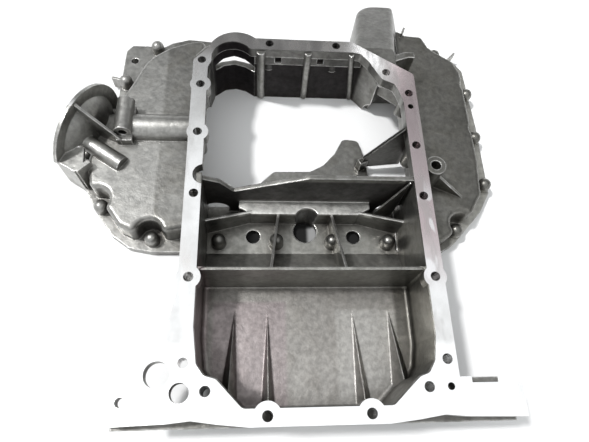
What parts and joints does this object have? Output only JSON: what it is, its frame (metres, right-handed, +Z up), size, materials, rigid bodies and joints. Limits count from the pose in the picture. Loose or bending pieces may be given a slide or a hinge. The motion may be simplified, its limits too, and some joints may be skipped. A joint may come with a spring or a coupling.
{
  "type": "engine oil pan",
  "caption": "Cast aluminium upper oil pan with a machined bolt rail, compartments with baffles, an open bay, hollow side wings and a round flanged horn.",
  "frame": {"origin": "on the machined rail face, midway between the two rear rail bolts", "axes": "+Z up out of the rail face, +X to the right along the gearbox face, +Y away from the gearbox face"},
  "size_m": [0.5426, 0.557, 0.097],
  "materials": {
    "casting": "as-cast, with machined faces"
  },
  "bodies": {
    "root": {"oil_pan_casting": "casting"}
  },
  "joints": []
}
